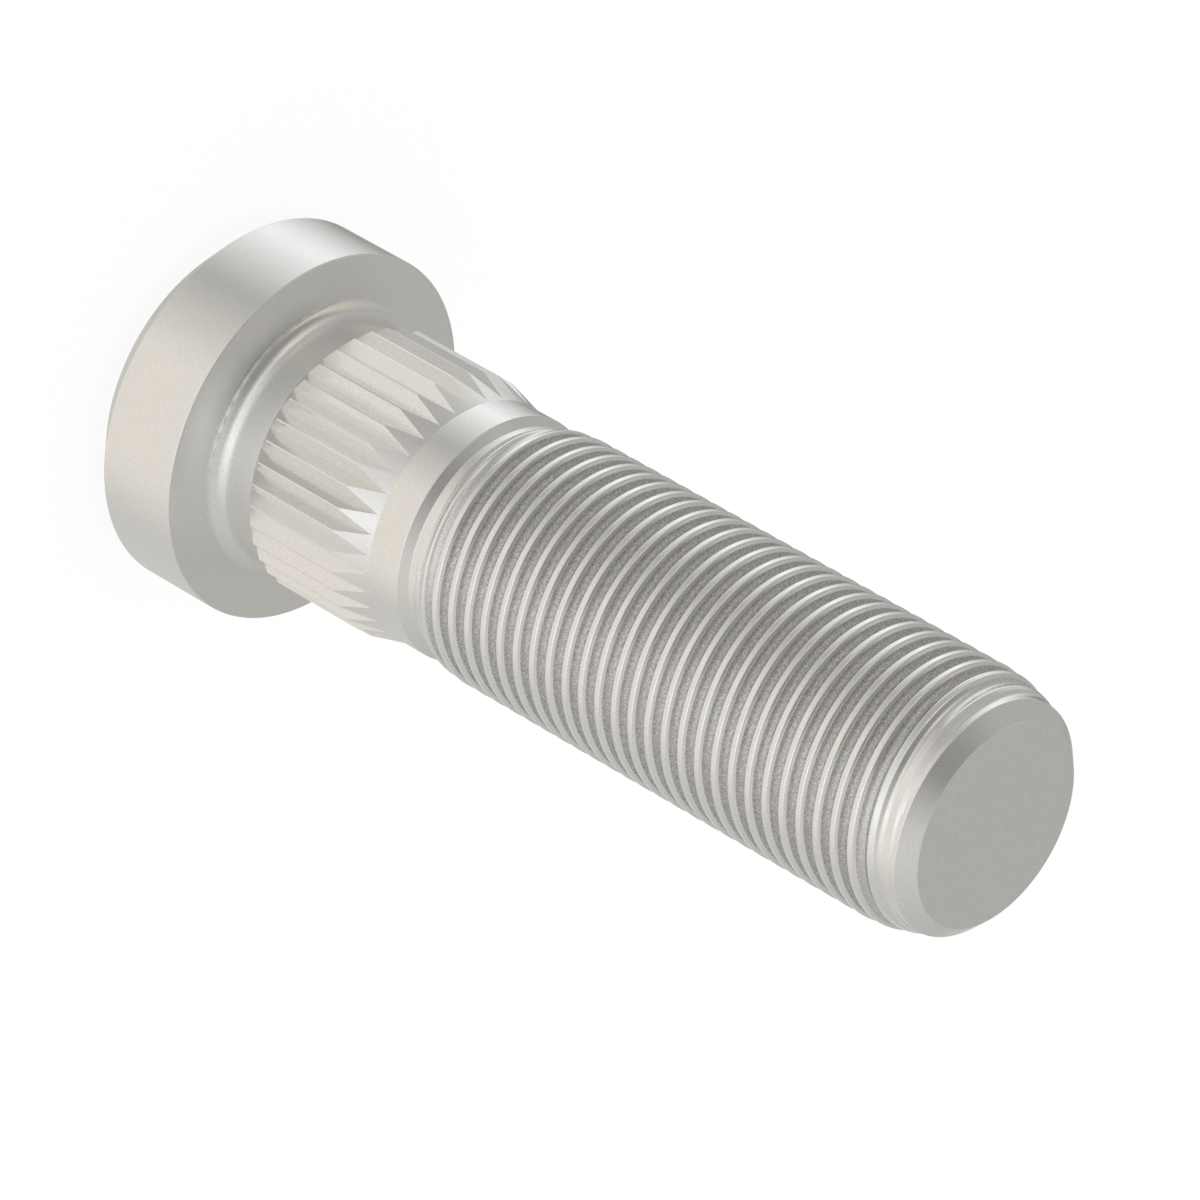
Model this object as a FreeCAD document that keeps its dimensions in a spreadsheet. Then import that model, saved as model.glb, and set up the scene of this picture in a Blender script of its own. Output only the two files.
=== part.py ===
import FreeCAD, Part
import os
import Sketcher

# A press-in wheel bolt: a round head, a serrated neck that bites into the hub flange, a plain collar
# and a threaded shank. It stands on its head, with the origin at the centre of the head's back face
# and +Z along the bolt's axis towards the tip. The fine thread is drawn as a plain cylinder over its
# crests, with the slopes over which it rises and fades.

# Driving dimensions, in millimetres and degrees. Radii step out from the plain shank, and lengths
# follow each other from the seat and from the tip, with the full thread between them.
SIZES = (
    ("head_diameter", 32.26, "outside diameter of the head"),
    ("head_thickness", 10.2, "back face of the head to its seat"),
    ("head_chamfer", 2.6, "45 degree chamfer round the back of the head"),
    ("seat_fillet", 1.5, "radius between the seat and the neck"),
    ("shank_length", 75.8, "seat to tip"),
    ("thread_diameter", 22.225, "over the thread's crests"),
    ("thread_height", 1.0375, "thread's crests over the plain shank"),
    ("thread_run_in", 3.0, "length over which the thread rises"),
    ("thread_run_out", 3.4, "length over which the thread fades"),
    ("pilot_length", 1.23, "plain shank between the thread and the tip's chamfer"),
    ("tip_chamfer", 1.27, "45 degree chamfer round the tip"),
    ("neck_length", 3.85, "seat to the foot of the serrations"),
    ("serration_length", 13.75, "foot of the serrations to their end on the collar"),
    ("serration_height", 0.935, "serrations' crests over the neck and the collar"),
    ("serration_count", 38, "number of serrations round the neck"),
    ("serration_land", 0.12, "width of the flat left on each crest"),
    ("serration_floor", 0.06, "height of each notch's root over the neck and the collar"),
    ("serration_rise_angle", 45, "slope of the serrations' foot, from the axis"),
    ("serration_run_angle", 15, "slope of the serrations' other end, from the axis"),
    ("collar_height", 0.675, "neck and collar over the plain shank, and the collar's 45 degree chamfer"),
    ("collar_length", 3.205, "end of the serrations to the collar's chamfer"),
    ("relief_length", 0.82, "plain shank between the collar and the thread"),
)

doc = FreeCAD.newDocument("wheel_bolt")
sheet = doc.addObject("Spreadsheet::Sheet", "Sizes")
for row, (alias, number, meaning) in enumerate(SIZES, start=1):
    sheet.set(f"A{row}", str(number))
    sheet.setAlias(f"A{row}", alias)
    sheet.set(f"B{row}", meaning)
doc.recompute()

body = doc.addObject("PartDesign::Body", "Body")
body.Label = "wheel_bolt"


def cells(formula):
    """A formula whose {names} are read from the sheet."""
    return formula.replace("{", "Sizes.").replace("}", "")


def value_of(formula):
    """The number that a formula gives with the sheet as it stands."""
    return float(sheet.evalExpression(cells(formula)))


def origin_feature(role):
    """The body's own plane or axis with that role."""
    return next(feature for feature in body.Origin.OriginFeatures if feature.Role == role)


def place(sketch, line, kind, axis, formula):
    """Holds a line's start at a distance from the sketch's origin that the sheet gives, or on an axis.

    A sketch numbers its own axes -1 and -2, and calls its origin point 1 of axis -1. The start of a
    line is its point 1 and the end its point 2.
    """
    if formula == "0":
        sketch.addConstraint(Sketcher.Constraint("PointOnObject", line, 1, axis))
        return
    index = sketch.addConstraint(Sketcher.Constraint(kind, -1, 1, line, 1, value_of(formula)))
    sketch.setExpression(f"Constraints[{index}]", cells(formula))


def draw_outline(name, plane, corners):
    """A sketch of one closed outline of lines. Each corner is a pair of formulas, across and along."""
    sketch = body.newObject("Sketcher::SketchObject", name)
    sketch.AttachmentSupport = [(origin_feature(plane), "")]
    sketch.MapMode = "FlatFace"
    points = [FreeCAD.Vector(value_of(across), value_of(along), 0) for across, along in corners]
    for start, end in zip(points, points[1:] + points[:1]):
        sketch.addGeometry(Part.LineSegment(start, end), False)
    for line in range(len(points)):
        following = (line + 1) % len(points)
        sketch.addConstraint(Sketcher.Constraint("Coincident", line, 2, following, 1))
    for line, (across, along) in enumerate(corners):
        place(sketch, line, "DistanceX", -2, across)
        place(sketch, line, "DistanceY", -1, along)
    return sketch


# Radii, each stepped out from the one before
head = "{head_diameter} / 2"
thread = "{thread_diameter} / 2"
shank = f"({thread} - {{thread_height}})"
collar = f"({shank} + {{collar_height}})"
crest = f"({collar} + {{serration_height}})"
notch_root = f"({collar} + {{serration_floor}})"

# Heights over the back of the head, each added to the one before
seat = "{head_thickness}"
serration_foot = f"{seat} + {{neck_length}}"
crest_start = f"{serration_foot} + {{serration_height}} / tan({{serration_rise_angle}} * 1 deg)"
serration_end = f"{serration_foot} + {{serration_length}}"
crest_end = f"{serration_end} - {{serration_height}} / tan({{serration_run_angle}} * 1 deg)"
collar_end = f"{serration_end} + {{collar_length}}"
relief_start = f"{collar_end} + {{collar_height}}"
thread_start = f"{relief_start} + {{relief_length}}"
full_thread_start = f"{thread_start} + {{thread_run_in}}"
tip = f"{seat} + {{shank_length}}"
pilot_end = f"{tip} - {{tip_chamfer}}"
thread_end = f"{pilot_end} - {{pilot_length}}"
full_thread_end = f"{thread_end} - {{thread_run_out}}"

# Half of the bolt's section, from the back of the head up to the tip, turned round the axis
section = draw_outline("Section", "XZ_Plane", (
    ("0", "0"),
    (f"{head} - {{head_chamfer}}", "0"),
    (head, "{head_chamfer}"),
    (head, seat),
    (collar, seat),
    (collar, serration_foot),
    (crest, crest_start),
    (crest, crest_end),
    (collar, serration_end),
    (collar, collar_end),
    (shank, relief_start),
    (shank, thread_start),
    (thread, full_thread_start),
    (thread, full_thread_end),
    (shank, thread_end),
    (shank, pilot_end),
    (f"{shank} - {{tip_chamfer}}", tip),
    ("0", tip),
))
blank = body.newObject("PartDesign::Revolution", "Blank")
blank.Profile = section
blank.ReferenceAxis = (section, ["V_Axis"])
blank.Angle = 360
doc.recompute()

# The fillet that spreads the load where the neck meets the seat. Its edge is the circle that passes
# through the corner's far side, away from the seam of the turned faces.
far_corner = Part.Vertex(-value_of(collar), 0, value_of(seat))
gaps = [edge.distToShape(far_corner)[0] for edge in blank.Shape.Edges]
fillet = body.newObject("PartDesign::Fillet", "SeatFillet")
fillet.Base = (blank, [f"Edge{gaps.index(min(gaps)) + 1}"])
fillet.setExpression("Radius", cells("{seat_fillet}"))
doc.recompute()

# One V notch, drawn across the +X axis. Its flanks leave half a land on each side at the crests, and
# it opens as far over the crests as it goes under them.
half_angle = f"(180 deg / {{serration_count}} - {{serration_land}} / {crest} / 2 * 1 rad)"
flank_slope = f"{crest} * sin({half_angle}) / ({crest} * cos({half_angle}) - {notch_root})"
mouth = f"2 * {crest} - {notch_root}"
mouth_half_width = f"2 * ({crest} - {notch_root}) * {flank_slope}"
notch_section = draw_outline("NotchSection", "XY_Plane", (
    (notch_root, "0"),
    (mouth, mouth_half_width),
    (mouth, f"-{mouth_half_width}"),
))
notch_section.setExpression("AttachmentOffset.Base.z", cells(serration_foot))
notch = body.newObject("PartDesign::Pocket", "Notch")
notch.Profile = notch_section
notch.Type = "Length"
notch.Reversed = True
notch.setExpression("Length", cells("{serration_length}"))
doc.recompute()

serrations = body.newObject("PartDesign::PolarPattern", "Serrations")
serrations.Originals = [notch]
serrations.Axis = (origin_feature("Z_Axis"), [""])
serrations.Angle = 360
serrations.setExpression("Occurrences", cells("{serration_count}"))
body.Tip = serrations
doc.recompute()

# Nothing is written unless every step worked and every notch was cut
for item in doc.Objects:
    if "Invalid" in item.State or "Error" in item.State:
        raise RuntimeError(f"{item.Label} failed: {item.State}")
if body.Shape.isNull() or not body.Shape.isValid() or len(body.Shape.Solids) != 1:
    raise RuntimeError("the bolt isn't one valid solid")
one_notch = fillet.Shape.Volume - notch.Shape.Volume
all_notches = fillet.Shape.Volume - body.Shape.Volume
print(f"one notch {one_notch:.4f} mm3, all notches {all_notches:.3f} mm3, bolt {body.Shape.Volume:.1f} mm3")
if one_notch <= 0 or round(all_notches / one_notch) != round(value_of("{serration_count}")):
    raise RuntimeError("the notches weren't all cut")

os.makedirs("parts", exist_ok=True)
body.Shape.exportStep(f"parts/{body.Label}.step")
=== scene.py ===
"""Looks for a press-in wheel bolt that stands on its head with its tip up.

The bolt is one closed surface of columns round the axis and rows along it, in millimetres until the
mesh is made. Plain turned stretches are rings of an outline, the serrations are flanks cut off by a
cone at each end, and the thread's rows climb with its helix.
"""
import math

import bpy
import numpy as np
from mathutils import Matrix, Vector


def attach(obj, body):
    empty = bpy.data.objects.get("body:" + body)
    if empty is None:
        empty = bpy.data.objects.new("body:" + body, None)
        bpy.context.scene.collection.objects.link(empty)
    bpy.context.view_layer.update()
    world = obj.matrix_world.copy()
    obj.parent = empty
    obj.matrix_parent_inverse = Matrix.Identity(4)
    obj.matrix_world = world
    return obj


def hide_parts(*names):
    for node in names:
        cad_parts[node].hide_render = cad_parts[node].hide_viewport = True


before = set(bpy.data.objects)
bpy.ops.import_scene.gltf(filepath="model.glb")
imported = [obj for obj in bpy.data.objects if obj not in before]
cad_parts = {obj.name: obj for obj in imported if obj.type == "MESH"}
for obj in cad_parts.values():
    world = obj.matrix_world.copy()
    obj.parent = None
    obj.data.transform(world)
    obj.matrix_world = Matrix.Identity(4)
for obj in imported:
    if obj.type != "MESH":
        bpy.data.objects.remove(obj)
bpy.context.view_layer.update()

MM = 0.001

# Head, neck and collar, in millimetres, with heights from the back of the head
HEAD_RADIUS = 16.13
HEAD_CHAMFER = 2.6
SEAT = 10.2
SEAT_FILLET = 1.5
COLLAR_RADIUS = 10.75
COLLAR_END = 31.005
EDGE_ROUND = 0.12
FILLET_STEPS = 14
EDGE_STEPS = 3
SHARP_EDGE = math.radians(8)

# Serrations
SERRATIONS = 38
SERRATION_FOOT = 14.05
SERRATION_END = 27.8
CREST_RADIUS = 11.685
NOTCH_ROOT_RADIUS = 10.81
CREST_LAND = 0.12
RISE_ANGLE = math.radians(45)
RUN_ANGLE = math.radians(15)

# Shank and tip
SHANK_RADIUS = 10.075
THREAD_FOOT = 32.2
THREAD_END = 84.4
TIP = 86.0
TIP_CHAMFER = 1.27

# Thread: 14 crests to the inch, which climb two spacings a turn as in the photograph. The top share of
# a flank is as shiny as its crest. Over the share under it the finish turns rough, and its colour is
# painted darker there as shade for the thread's valleys. Vertices within ON_FLANK millimetres under
# that border count as shiny.
CREST_SPACING = 25.4 / 14
THREAD_STARTS = 2
THREAD_LEAD = THREAD_STARTS * CREST_SPACING
THREAD_HEIGHT = 1.0375
THREAD_CREST_WIDTH = 0.5
CREST_ROUND = 0.22
CREST_STEPS = 3
SHINY_SHARE = 0.22
DULL_AND_SHADE_BLEND = 0.06
ON_FLANK = 0.01
THREAD_RUN_IN = 3.3
THREAD_RUN_OUT = 4.6
CREST_PHASE = 0.74

# The photograph's camera: the lens and its sensor's width in millimetres, the polar angle of the bolt's
# nearest side, the angle from the line of sight to the axis, the axis's dip in the picture, and where
# the middle of the seat is, in millimetres right, down and away
LENS = 288.285
SENSOR_WIDTH = 36
NEAR_SIDE = math.radians(269.1)
SIGHT_ANGLE = math.radians(54.583)
AXIS_DIP = math.radians(29.63)
SEAT_IN_VIEW = (-23.287, -13.246, 781.392)

NEAR = Vector((math.cos(NEAR_SIDE), math.sin(NEAR_SIDE), 0))
OVER = Vector((math.sin(NEAR_SIDE), -math.cos(NEAR_SIDE), 0))
UP = Vector((0, 0, 1))

# Plating, in millimetres: the size of its grain and its clouds, and the depth of its grain
GRAIN_SIZE = 0.15
CLOUD_SIZE = 4.0
GRAIN_DEPTH = 0.02

# Roughness of the plating where it is clear and clouded, and of each finish
CLEAR_ROUGHNESS = 0.18
CLOUDED_ROUGHNESS = 0.22
BURNISHED_ROUGHNESS = 0.1
FORGED_ROUGHNESS = 0.4
ROLLED_ROUGHNESS = 0.4

# Floor, in metres, and how much of its own white the camera sees in place of its shadow
FLOOR_SIZE = 6.0
FLOOR_DROP = 0.00002
FLOOR_WHITE = 0.92

# The studio's tones: its soft boxes, its walls, and the gaps between them
SOFT_BOX = "#FFFFFF"
PALE_WALL = "#E8E2DA"
WALL = "#CCCAC6"
GREY_WALL = "#B0AFAC"
DARK_GAP = "#908F8C"
WARM_WALL = "#D6D0C0"

# The studio's four levels from the lowest up: tones at turns round the bolt, from its far side. The
# first two stops close the turn.
PALE_BELOW = (
    (0.0, WALL), (1.0, WALL), (0.05, DARK_GAP), (0.2, SOFT_BOX), (0.35, GREY_WALL),
    (0.5, PALE_WALL), (0.7, PALE_WALL), (0.8, WALL))
HORIZON = (
    (0.0, GREY_WALL), (1.0, GREY_WALL), (0.4, GREY_WALL), (0.6, SOFT_BOX), (0.75, WALL))
SOFT_BOXES = (
    (0.0, GREY_WALL), (1.0, GREY_WALL), (0.2, GREY_WALL), (0.35, PALE_WALL), (0.4, WALL),
    (0.6, SOFT_BOX), (0.75, WALL))
GREY_ABOVE = (
    (0.0, GREY_WALL), (1.0, GREY_WALL), (0.15, WARM_WALL), (0.2, DARK_GAP), (0.45, DARK_GAP),
    (0.65, WALL), (0.85, WALL))

# Where each level over the lowest starts and ends its blend, as the upward share of the direction
LEVEL_BLENDS = ((-0.45, -0.1, HORIZON), (0.1, 0.35, SOFT_BOXES), (0.4, 0.8, GREY_ABOVE))
STUDIO_STRENGTH = 1.03
FLOOR_LAMP_STRENGTH = 2.0
FLOOR_LAMP_SPREAD = math.radians(60)


def columns():
    """Polar angles of the columns, and each column's angle from the notch that it is nearest to.

    Every tooth has a column in its root, at both edges of its crest land and halfway up each flank.
    A notch is centred on +X.
    """
    tooth = 2 * math.pi / SERRATIONS
    land = CREST_LAND / CREST_RADIUS
    flank = (tooth - land) / 2
    steps = np.array([0, flank / 2, flank, flank + land, tooth - flank / 2])
    angles = (tooth * np.arange(SERRATIONS)[:, None] + steps).ravel()
    from_notch = np.tile(np.minimum(steps, tooth - steps), SERRATIONS)
    return angles, from_notch


def rounded_outline(corners):
    """An outline of straight runs with its corners rounded, drawn with the material on its left.

    A corner is across, along, radius and steps. Its arc leaves the run before at radius * tan(turn / 2)
    from the corner and follows the heading round in equal steps. The rows of the result are across,
    along, and the outward direction across and along.
    """
    points = np.array([corner[:2] for corner in corners], dtype=float)
    runs = np.diff(points, axis=0)
    headings = np.arctan2(runs[:, 1], runs[:, 0])
    before = np.append(headings[0], headings)
    after = np.append(headings, headings[-1])
    turns = (after - before + math.pi) % (2 * math.pi) - math.pi
    stretches = []
    for here, corner, heading, turn in zip(points, corners, before, turns):
        bend = math.copysign(corner[2], turn)
        reach = corner[2] * math.tan(abs(turn) / 2)
        start = here - reach * np.array((math.cos(heading), math.sin(heading)))
        centre = start + bend * np.array((-math.sin(heading), math.cos(heading)))
        swing = heading + np.linspace(0, turn, corner[3] + 1)
        outward = np.array((np.sin(swing), -np.cos(swing)))
        stretches.append(np.vstack((centre[:, None] + bend * outward, outward)))
    return np.hstack(stretches)


def turned_rings(corners, count):
    """Rings of a turned stretch, the same in every column: radius, height, and the outward direction."""
    return np.repeat(rounded_outline(corners)[:, :, None], count, axis=2)


def serration_rings(from_notch):
    """The two ring-like rows between which the serrations' flanks run straight along the axis.

    A flank is the straight line from the notch's root to the edge of the crest land, whose radius at
    an angle a is cross / (rise * cos a - run * sin a). The lower row is where it leaves the foot's
    cone and the upper row where it leaves the run-out's cone, so their heights follow the radius.
    The outward direction is left at nothing, because these faces meet at sharp edges.
    """
    half = from_notch.max()
    run = CREST_RADIUS * math.cos(half) - NOTCH_ROOT_RADIUS
    rise = CREST_RADIUS * math.sin(half)
    radius = NOTCH_ROOT_RADIUS * rise / (rise * np.cos(from_notch) - run * np.sin(from_notch))
    proud = radius - COLLAR_RADIUS
    foot = SERRATION_FOOT + proud / math.tan(RISE_ANGLE)
    end = SERRATION_END - proud / math.tan(RUN_ANGLE)
    nothing = np.zeros((2, 2, len(radius)))
    return np.concatenate((((radius, radius), (foot, end)), nothing))


def thread_section():
    """One crest of the thread, from a root to just before the next.

    The rows of the result are the height, the place along the axis from the middle of the crest, the
    outward direction, and how much of the rough finish and of the painted shade the surface has.
    Straight flanks run from each root to the crest, whose two corners are rounded. The top of a flank
    is as shiny as the crest; the rest of it is rough and painted darker as shade for the valleys.
    """
    crest = THREAD_CREST_WIDTH / 2
    root = CREST_SPACING / 2
    flank = [(share * THREAD_HEIGHT, root - share * (root - crest), 0, 0)
             for share in (0, 1 - SHINY_SHARE - DULL_AND_SHADE_BLEND, 1 - SHINY_SHARE)]
    rounded = THREAD_HEIGHT, crest, CREST_ROUND, CREST_STEPS
    upper = [rounded] + flank[::-1]
    lower = [(height, -place, radius, steps) for height, place, radius, steps in upper[::-1]]
    section = rounded_outline(lower + upper)[:, :-1]
    section[2:, 0] = 1, 0
    # Under the shiny top a flank is rough, and its colour is painted darker as shade.
    dull_and_shaded = section[0] < (1 - SHINY_SHARE) * THREAD_HEIGHT - ON_FLANK
    return np.vstack((section, dull_and_shaded))


def thread_fade(height):
    """How much of its full height the thread has, and how fast that changes with height along the axis.

    It is a quarter sine up from the thread's foot and another down to its end.
    """
    quarter = math.pi / 2
    rising = quarter * np.clip((height - THREAD_FOOT) / THREAD_RUN_IN, 0, 1)
    fading = quarter * np.clip((THREAD_END - height) / THREAD_RUN_OUT, 0, 1)
    up = np.cos(rising) * np.sin(fading) * quarter / THREAD_RUN_IN
    down = np.sin(rising) * np.cos(fading) * quarter / THREAD_RUN_OUT
    return np.sin(rising) * np.sin(fading), up - down


def thread_rows(angles, foot_ring, end_ring, first_free):
    """The thread's rows, which climb one lead a turn, and their faces.

    A row's height at a polar angle a is its own start plus lead * a / turn. Where that is under the
    thread's foot or over its end, the row lies on the ring there and shares its vertices. After a
    whole turn a row runs on into the row that starts one lead higher. For each vertex the result
    holds radius, height, polar angle, the outward direction along the radius, round the axis and
    along it, and how much of the rough rolled finish and of the painted shade in the valleys it has.
    """
    section_height, section_place, out_across, out_along, section_dull_and_shaded = thread_section()
    lead_rows = THREAD_STARTS * len(section_place)
    first_crest = SEAT + CREST_PHASE * CREST_SPACING - THREAD_LEAD * NEAR_SIDE / (2 * math.pi)
    lowest = math.floor((THREAD_FOOT - THREAD_LEAD - first_crest) / CREST_SPACING)
    highest = math.ceil((THREAD_END - first_crest) / CREST_SPACING) + 1
    crests = first_crest + CREST_SPACING * np.arange(lowest, highest + 1)
    starts = (crests[:, None] + section_place).ravel()
    proud = np.tile(section_height, len(crests))

    height = starts[:, None] + THREAD_LEAD * angles / (2 * math.pi)
    under = height <= THREAD_FOOT
    over = height >= THREAD_END
    free = ~(under | over)
    index = np.cumsum(free).reshape(free.shape) - 1 + first_free
    index = np.where(under, foot_ring, np.where(over, end_ring, index))
    next_turn = np.append(index[lead_rows:, 0], np.full(lead_rows, end_ring[0]))
    index = np.column_stack((index, next_turn))

    fade, change = thread_fade(height)
    across, along, dull_and_shaded = [
        np.tile(row, len(crests))[:, None] for row in (out_across, out_along, section_dull_and_shaded)]
    radius = SHANK_RADIUS + fade * proud[:, None]
    rows = (
        radius,
        height,
        np.broadcast_to(angles, height.shape),
        np.broadcast_to(across, height.shape),
        -fade * along * THREAD_LEAD / (2 * math.pi * radius),
        fade * along - change * proud[:, None] * across,
        dull_and_shaded * np.clip(2 * fade - 1, 0, 1),
    )
    return np.array([row[free] for row in rows]), quads(index)


def quads(index):
    """Faces between neighbouring rows and columns of a grid of vertex numbers, facing outwards."""
    corners = (index[:-1, :-1], index[:-1, 1:], index[1:, 1:], index[1:, :-1])
    return np.stack(corners, axis=-1).reshape(-1, 4)


def clean_faces(faces):
    """Splits off as triangles the faces that have two corners in one, and drops those with only two."""
    halves = np.concatenate((faces[:, [0, 1, 2]], faces[:, [0, 2, 3]]))
    same = [faces[:, corner] == faces[:, corner - 1] for corner in range(4)]
    whole = ~np.any(same, axis=0)
    halves = halves[np.tile(~whole, 2)]
    apart = (halves[:, 0] != halves[:, 1]) & (halves[:, 1] != halves[:, 2]) & (halves[:, 2] != halves[:, 0])
    return faces[whole].tolist() + halves[apart].tolist()


def bolt_surface():
    """The whole bolt's vertices, in millimetres, their outward directions, how much rough finish and
    painted shade each has, and its faces.
    """
    angles, from_notch = columns()
    count = len(angles)
    edge = (EDGE_ROUND, EDGE_STEPS)
    head = turned_rings((
        (HEAD_RADIUS / 2, 0, 0, 0),
        (HEAD_RADIUS - HEAD_CHAMFER, 0, *edge),
        (HEAD_RADIUS, HEAD_CHAMFER, *edge),
        (HEAD_RADIUS, SEAT, *edge),
        (COLLAR_RADIUS, SEAT, SEAT_FILLET, FILLET_STEPS),
        (COLLAR_RADIUS, SERRATION_FOOT, 0, 0),
    ), count)
    collar = turned_rings((
        (COLLAR_RADIUS, SERRATION_END, 0, 0),
        (COLLAR_RADIUS, COLLAR_END, *edge),
        (SHANK_RADIUS, COLLAR_END + COLLAR_RADIUS - SHANK_RADIUS, *edge),
        (SHANK_RADIUS, THREAD_FOOT, 0, 0),
    ), count)
    tip = turned_rings((
        (SHANK_RADIUS, THREAD_END, 0, 0),
        (SHANK_RADIUS, TIP - TIP_CHAMFER, *edge),
        (SHANK_RADIUS - TIP_CHAMFER, TIP, *edge),
        (SHANK_RADIUS / 2, TIP, 0, 0),
    ), count)
    lower = np.concatenate((head, serration_rings(from_notch), collar), axis=1)
    radius, height, out_across, out_along = np.concatenate((lower, tip), axis=1)
    index = np.arange(radius.size).reshape(radius.shape)
    foot_row = lower.shape[1] - 1

    closed = np.column_stack((index, index[:, 0]))
    thread, thread_faces = thread_rows(angles, index[foot_row], index[foot_row + 1], radius.size)
    faces = np.concatenate((quads(closed[:foot_row + 1]), quads(closed[foot_row + 1:]), thread_faces))

    polar = np.broadcast_to(angles, radius.shape)
    none = np.zeros_like(radius)
    rings = np.array((radius, height, polar, out_across, none, out_along, none)).reshape(7, -1)
    radius, height, polar, outward, onward, upward, dull_and_shaded = np.hstack((rings, thread))
    east = np.cos(polar)
    north = np.sin(polar)
    vertices = np.column_stack((radius * east, radius * north, height))
    normals = np.column_stack((outward * east - onward * north, outward * north + onward * east, upward))
    back = len(vertices)
    front = back + 1
    vertices = np.concatenate((vertices, ((0, 0, 0), (0, 0, TIP))))
    normals = np.concatenate((normals, ((0, 0, -1), (0, 0, 1))))
    dull_and_shaded = np.append(dull_and_shaded, (0, 0))
    back_fan = np.column_stack((np.full(count, back), closed[0, 1:], closed[0, :-1]))
    front_fan = np.column_stack((closed[-1, :-1], closed[-1, 1:], np.full(count, front)))
    return vertices, normals, dull_and_shaded, clean_faces(faces) + back_fan.tolist() + front_fan.tolist()


def make_bolt():
    """The bolt as one object, with the normals worked out for it, and flat faces on the serrations."""
    vertices, normals, dull_and_shaded, faces = bolt_surface()
    mesh = bpy.data.meshes.new("wheel_bolt_body")
    mesh.from_pydata((vertices * MM).tolist(), [], faces, shade_flat=False)
    mesh.validate()
    height = vertices[:, 2]
    # The first finish is the flanks' rough rolled skin and also painted shade, which darkens their colour
    # towards the thread's valleys.
    finishes_and_shade = {
        "rolled_and_shaded_flank": dull_and_shaded,
        "burnished_thread": (height > THREAD_FOOT) & (height < THREAD_END),
        "forged_seat": np.isclose(height, SEAT),
    }
    for name, share in finishes_and_shade.items():
        mesh.attributes.new(name, "FLOAT", "POINT").data.foreach_set("value", share.astype(float))
    mesh.set_sharp_from_angle(angle=SHARP_EDGE)
    lengths = np.linalg.norm(normals, axis=1)
    cut = lengths == 0
    normals[~cut] /= lengths[~cut, None]
    corner = np.empty(len(mesh.loops), dtype=np.int32)
    first = np.empty(len(mesh.polygons), dtype=np.int32)
    sides = np.empty(len(mesh.polygons), dtype=np.int32)
    mesh.loops.foreach_get("vertex_index", corner)
    mesh.polygons.foreach_get("loop_start", first)
    mesh.polygons.foreach_get("loop_total", sides)
    on_serrations = np.repeat(np.logical_or.reduceat(cut[corner], first), sides)
    mesh.normals_split_custom_set(np.where(on_serrations[:, None], 0, normals[corner]).tolist())
    mesh.update()
    bolt = bpy.data.objects.new("wheel_bolt_body", mesh)
    bpy.context.scene.collection.objects.link(bolt)
    return bolt


def linear(colour):
    """A colour written as sRGB hex, as the linear red, green, blue and alpha that a socket takes."""
    channels = [int(colour[place:place + 2], 16) / 255 for place in (1, 3, 5)]
    return [c / 12.92 if c <= 0.04045 else ((c + 0.055) / 1.055) ** 2.4 for c in channels] + [1.0]


def add_node(tree, kind, inputs=None, links=None, stops=None, **settings):
    """Adds a node: its own settings, the values of inputs, the outputs that feed inputs, and ramp stops."""
    node = tree.nodes.new(kind)
    for name, value in settings.items():
        setattr(node, name, value)
    for socket, value in (inputs or {}).items():
        node.inputs[socket].default_value = value
    for socket, output in (links or {}).items():
        tree.links.new(output, node.inputs[socket])
    for place, (position, colour) in enumerate(stops or ()):
        stop = node.color_ramp.elements[-place] if place < 2 else node.color_ramp.elements.new(position)
        stop.position = position
        stop.color = linear(colour)
    return node


def empty_tree(owner):
    """The owner's node tree with nothing in it."""
    owner.use_nodes = True
    owner.node_tree.nodes.clear()
    return owner.node_tree


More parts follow.
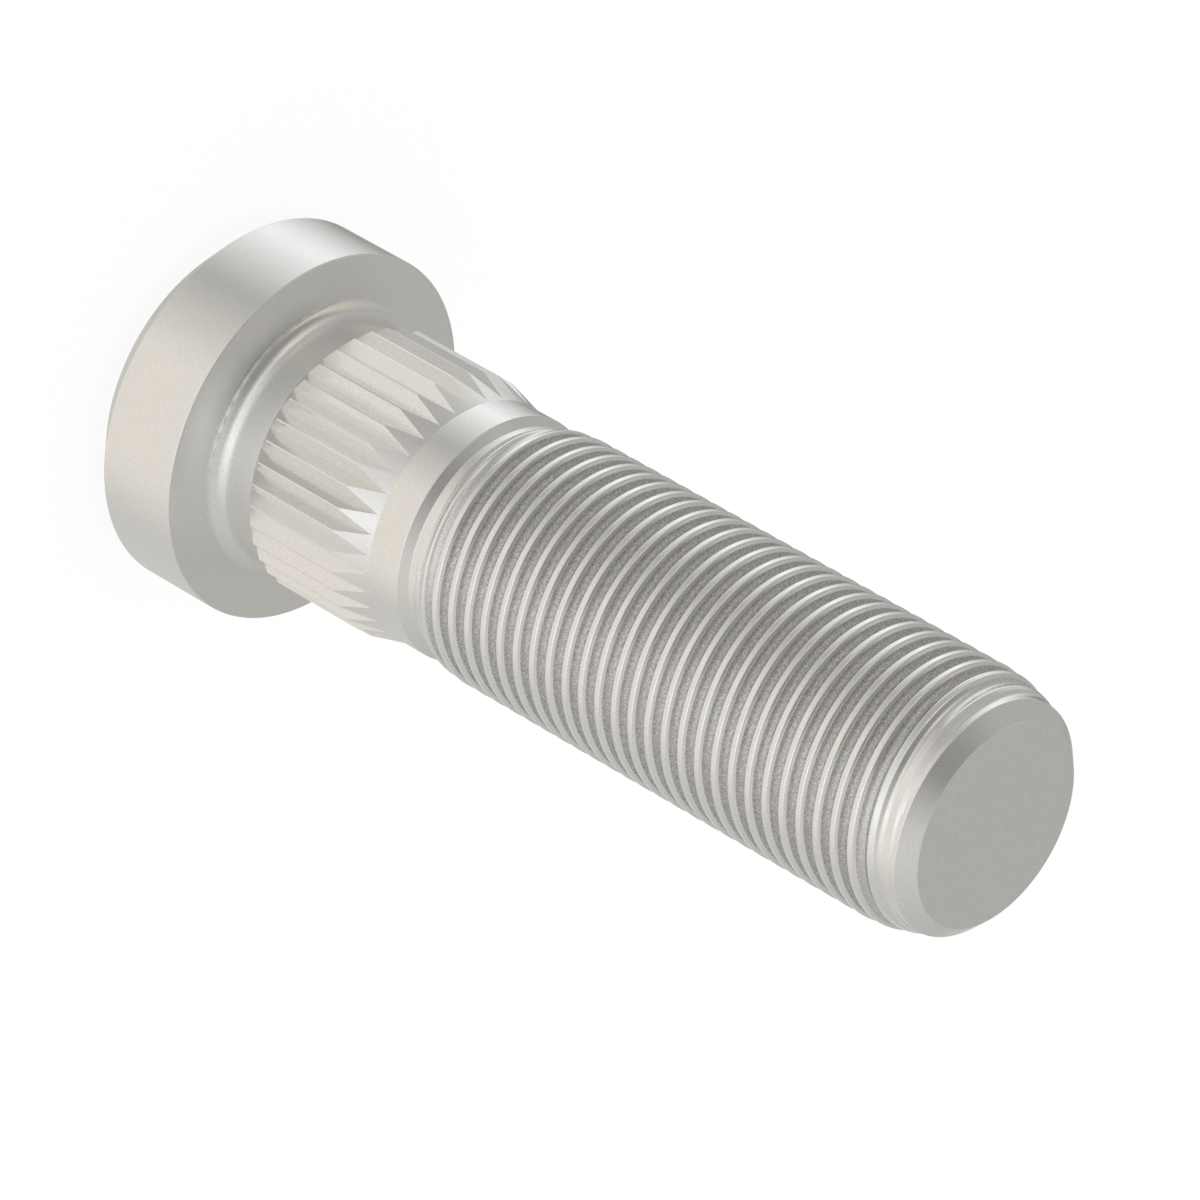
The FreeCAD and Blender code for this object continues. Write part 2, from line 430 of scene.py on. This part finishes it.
def satin_zinc_plating():
    """Satin zinc plated over turned and rolled steel: pale, faintly warm and evenly bright.

    Crystals of the plating speckle it with a fine grain. The thread's crests are burnished by rolling
    and mirror sharply, but its flanks are rougher and coarser, and their colour is painted a darker
    grey as shade for the thread's valleys, so they look grey and sandy. The head's seat keeps the soft
    sheen of its forging. The real grain is under a tenth of a millimetre: it is drawn coarser, so that
    it shows.
    """
    material = bpy.data.materials.new("satin_zinc_plating")
    tree = empty_tree(material)
    place = add_node(tree, "ShaderNodeTexCoord").outputs["Object"]
    # The first attribute marks the rough rolled flanks and the painted shade on them.
    rolled, burnished, forged = [
        add_node(tree, "ShaderNodeAttribute", attribute_name=name).outputs["Fac"]
        for name in ("rolled_and_shaded_flank", "burnished_thread", "forged_seat")]
    grain, cloud = [
        add_node(
            tree, "ShaderNodeTexNoise", {"Scale": 1 / (size * MM), "Detail": detail, "Roughness": 0.5},
            {"Vector": place}).outputs["Fac"]
        for size, detail in ((GRAIN_SIZE, 1.0), (CLOUD_SIZE, 2.0))]
    bright = add_node(
        tree, "ShaderNodeValToRGB", links={"Fac": grain}, stops=((0.35, "#EEEEEC"), (0.65, "#F6F6F5")))
    # A darker grey for the flanks: painted shade for the thread's valleys, speckled by the plating's grain.
    dull_and_shaded = add_node(
        tree, "ShaderNodeValToRGB", links={"Fac": grain}, stops=((0.35, "#B0AFAC"), (0.65, "#D8D8D5")))
    tint = add_node(
        tree, "ShaderNodeMix", links={
            "Factor": rolled, 6: bright.outputs["Color"], 7: dull_and_shaded.outputs["Color"]}, data_type="RGBA")
    sheen = add_node(
        tree, "ShaderNodeMapRange",
        {"From Min": 0.3, "From Max": 0.7, "To Min": CLEAR_ROUGHNESS, "To Max": CLOUDED_ROUGHNESS},
        {"Value": cloud})
    roughness = sheen.outputs["Result"]
    for finish, rough in (
            (burnished, BURNISHED_ROUGHNESS), (forged, FORGED_ROUGHNESS), (rolled, ROLLED_ROUGHNESS)):
        roughness = add_node(
            tree, "ShaderNodeMix", {3: rough}, {"Factor": finish, 2: roughness},
            data_type="FLOAT").outputs[0]
    depth = add_node(
        tree, "ShaderNodeMapRange", {"To Min": 0.06, "To Max": 0.3}, {"Value": rolled})
    bump = add_node(
        tree, "ShaderNodeBump", {"Distance": GRAIN_DEPTH * MM},
        {"Height": grain, "Strength": depth.outputs["Result"]})
    metal = add_node(
        tree, "ShaderNodeBsdfPrincipled", {"Metallic": 1.0},
        {"Base Color": tint.outputs[2], "Roughness": roughness, "Normal": bump.outputs["Normal"]})
    add_node(tree, "ShaderNodeOutputMaterial", links={"Surface": metal.outputs["BSDF"]})
    return material


def pale_floor():
    """A pale studio floor: white to the camera, with the bolt's shadow faint on it.

    Mirroring rays pass through it to the studio's own sweep of light, so the metal shows that pale
    background and not the shadow round its own foot.
    """
    mesh = bpy.data.meshes.new("studio_floor")
    half = FLOOR_SIZE / 2
    corners = [(-half, -half, -FLOOR_DROP), (half, -half, -FLOOR_DROP),
               (half, half, -FLOOR_DROP), (-half, half, -FLOOR_DROP)]
    mesh.from_pydata(corners, [], [(0, 1, 2, 3)])
    floor = bpy.data.objects.new("studio_floor", mesh)
    bpy.context.scene.collection.objects.link(floor)

    material = bpy.data.materials.new("matt_white_floor")
    tree = empty_tree(material)
    ray = add_node(tree, "ShaderNodeLightPath").outputs
    matt = add_node(tree, "ShaderNodeBsdfDiffuse", {"Color": linear("#F4F4F2")})
    white = add_node(tree, "ShaderNodeEmission", {"Color": linear("#FFFFFF"), "Strength": 1.0})
    share = add_node(
        tree, "ShaderNodeMath", {1: FLOOR_WHITE}, {0: ray["Is Camera Ray"]}, operation="MULTIPLY")
    seen = add_node(
        tree, "ShaderNodeMixShader", links={0: share.outputs[0], 1: matt.outputs[0], 2: white.outputs[0]})
    clear = add_node(tree, "ShaderNodeBsdfTransparent")
    whole = add_node(
        tree, "ShaderNodeMixShader",
        links={0: ray["Is Glossy Ray"], 1: seen.outputs[0], 2: clear.outputs[0]})
    add_node(tree, "ShaderNodeOutputMaterial", links={"Surface": whole.outputs[0]})
    mesh.materials.append(material)
    return floor


def studio_light():
    """A soft studio, white to the camera: pale below, greyer above, and a lamp that lights the floor alone.

    Each level goes from tone to tone round the bolt, in turns from its far side, as light does that
    comes from soft boxes on two sides. The levels blend into each other with height.
    """
    world = bpy.data.worlds.new("soft_studio")
    bpy.context.scene.world = world
    tree = empty_tree(world)
    ray = add_node(tree, "ShaderNodeLightPath").outputs
    direction = add_node(tree, "ShaderNodeTexCoord").outputs["Generated"]
    turned = add_node(
        tree, "ShaderNodeMapping", {"Rotation": (0, 0, -NEAR_SIDE)}, {"Vector": direction})
    height = add_node(tree, "ShaderNodeSeparateXYZ", links={"Vector": direction}).outputs["Z"]
    turn = add_node(
        tree, "ShaderNodeTexGradient", links={"Vector": turned.outputs["Vector"]},
        gradient_type="RADIAL").outputs["Fac"]
    lowest = add_node(tree, "ShaderNodeValToRGB", links={"Fac": turn}, stops=PALE_BELOW)
    colour = lowest.outputs["Color"]
    for low, high, tones in LEVEL_BLENDS:
        level = add_node(tree, "ShaderNodeValToRGB", links={"Fac": turn}, stops=tones)
        share = add_node(
            tree, "ShaderNodeMapRange", {"From Min": low, "From Max": high}, {"Value": height},
            interpolation_type="SMOOTHSTEP")
        colour = add_node(
            tree, "ShaderNodeMix",
            links={"Factor": share.outputs["Result"], 6: colour, 7: level.outputs["Color"]},
            data_type="RGBA").outputs[2]
    studio = add_node(
        tree, "ShaderNodeBackground", {"Strength": STUDIO_STRENGTH}, {"Color": colour})
    white = add_node(tree, "ShaderNodeBackground", {"Color": linear("#FFFFFF"), "Strength": 1.0})
    whole = add_node(
        tree, "ShaderNodeMixShader",
        links={0: ray["Is Camera Ray"], 1: studio.outputs[0], 2: white.outputs[0]})
    add_node(tree, "ShaderNodeOutputWorld", links={"Surface": whole.outputs[0]})

    light = bpy.data.lights.new("floor_lamp", "SUN")
    light.energy = FLOOR_LAMP_STRENGTH
    light.angle = FLOOR_LAMP_SPREAD
    lamp = bpy.data.objects.new("floor_lamp", light)
    lamp.location = (0, 0, 1)
    lamp.visible_glossy = False
    bpy.context.scene.collection.objects.link(lamp)


def photo_camera():
    """The photograph's camera.

    Its forward direction is the line of sight. Its right and down directions are the axis, the near
    side and the far side turned by the sight angle and then rolled by the axis's dip. It stands where
    the middle of the seat falls at its place in the picture.
    """
    sight = math.cos(SIGHT_ANGLE), math.sin(SIGHT_ANGLE)
    forward = -sight[0] * UP - sight[1] * NEAR
    along = sight[1] * UP - sight[0] * NEAR
    right = math.cos(AXIS_DIP) * along + math.sin(AXIS_DIP) * OVER
    down = math.sin(AXIS_DIP) * along - math.cos(AXIS_DIP) * OVER
    across, below, away = SEAT_IN_VIEW
    place = UP * SEAT - across * right - below * down - away * forward
    data = bpy.data.cameras.new("photo_camera")
    data.lens = LENS
    data.sensor_width = SENSOR_WIDTH
    camera = bpy.data.objects.new("photo_camera", data)
    turn = Matrix((right, -down, -forward)).transposed()
    camera.matrix_world = Matrix.Translation(place * MM) @ turn.to_4x4()
    bpy.context.scene.collection.objects.link(camera)
    bpy.context.scene.camera = camera


bpy.context.scene.view_settings.view_transform = "Standard"
bolt = make_bolt()
bolt.data.materials.append(satin_zinc_plating())
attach(bolt, "root")
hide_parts("wheel_bolt")
pale_floor()
studio_light()
photo_camera()
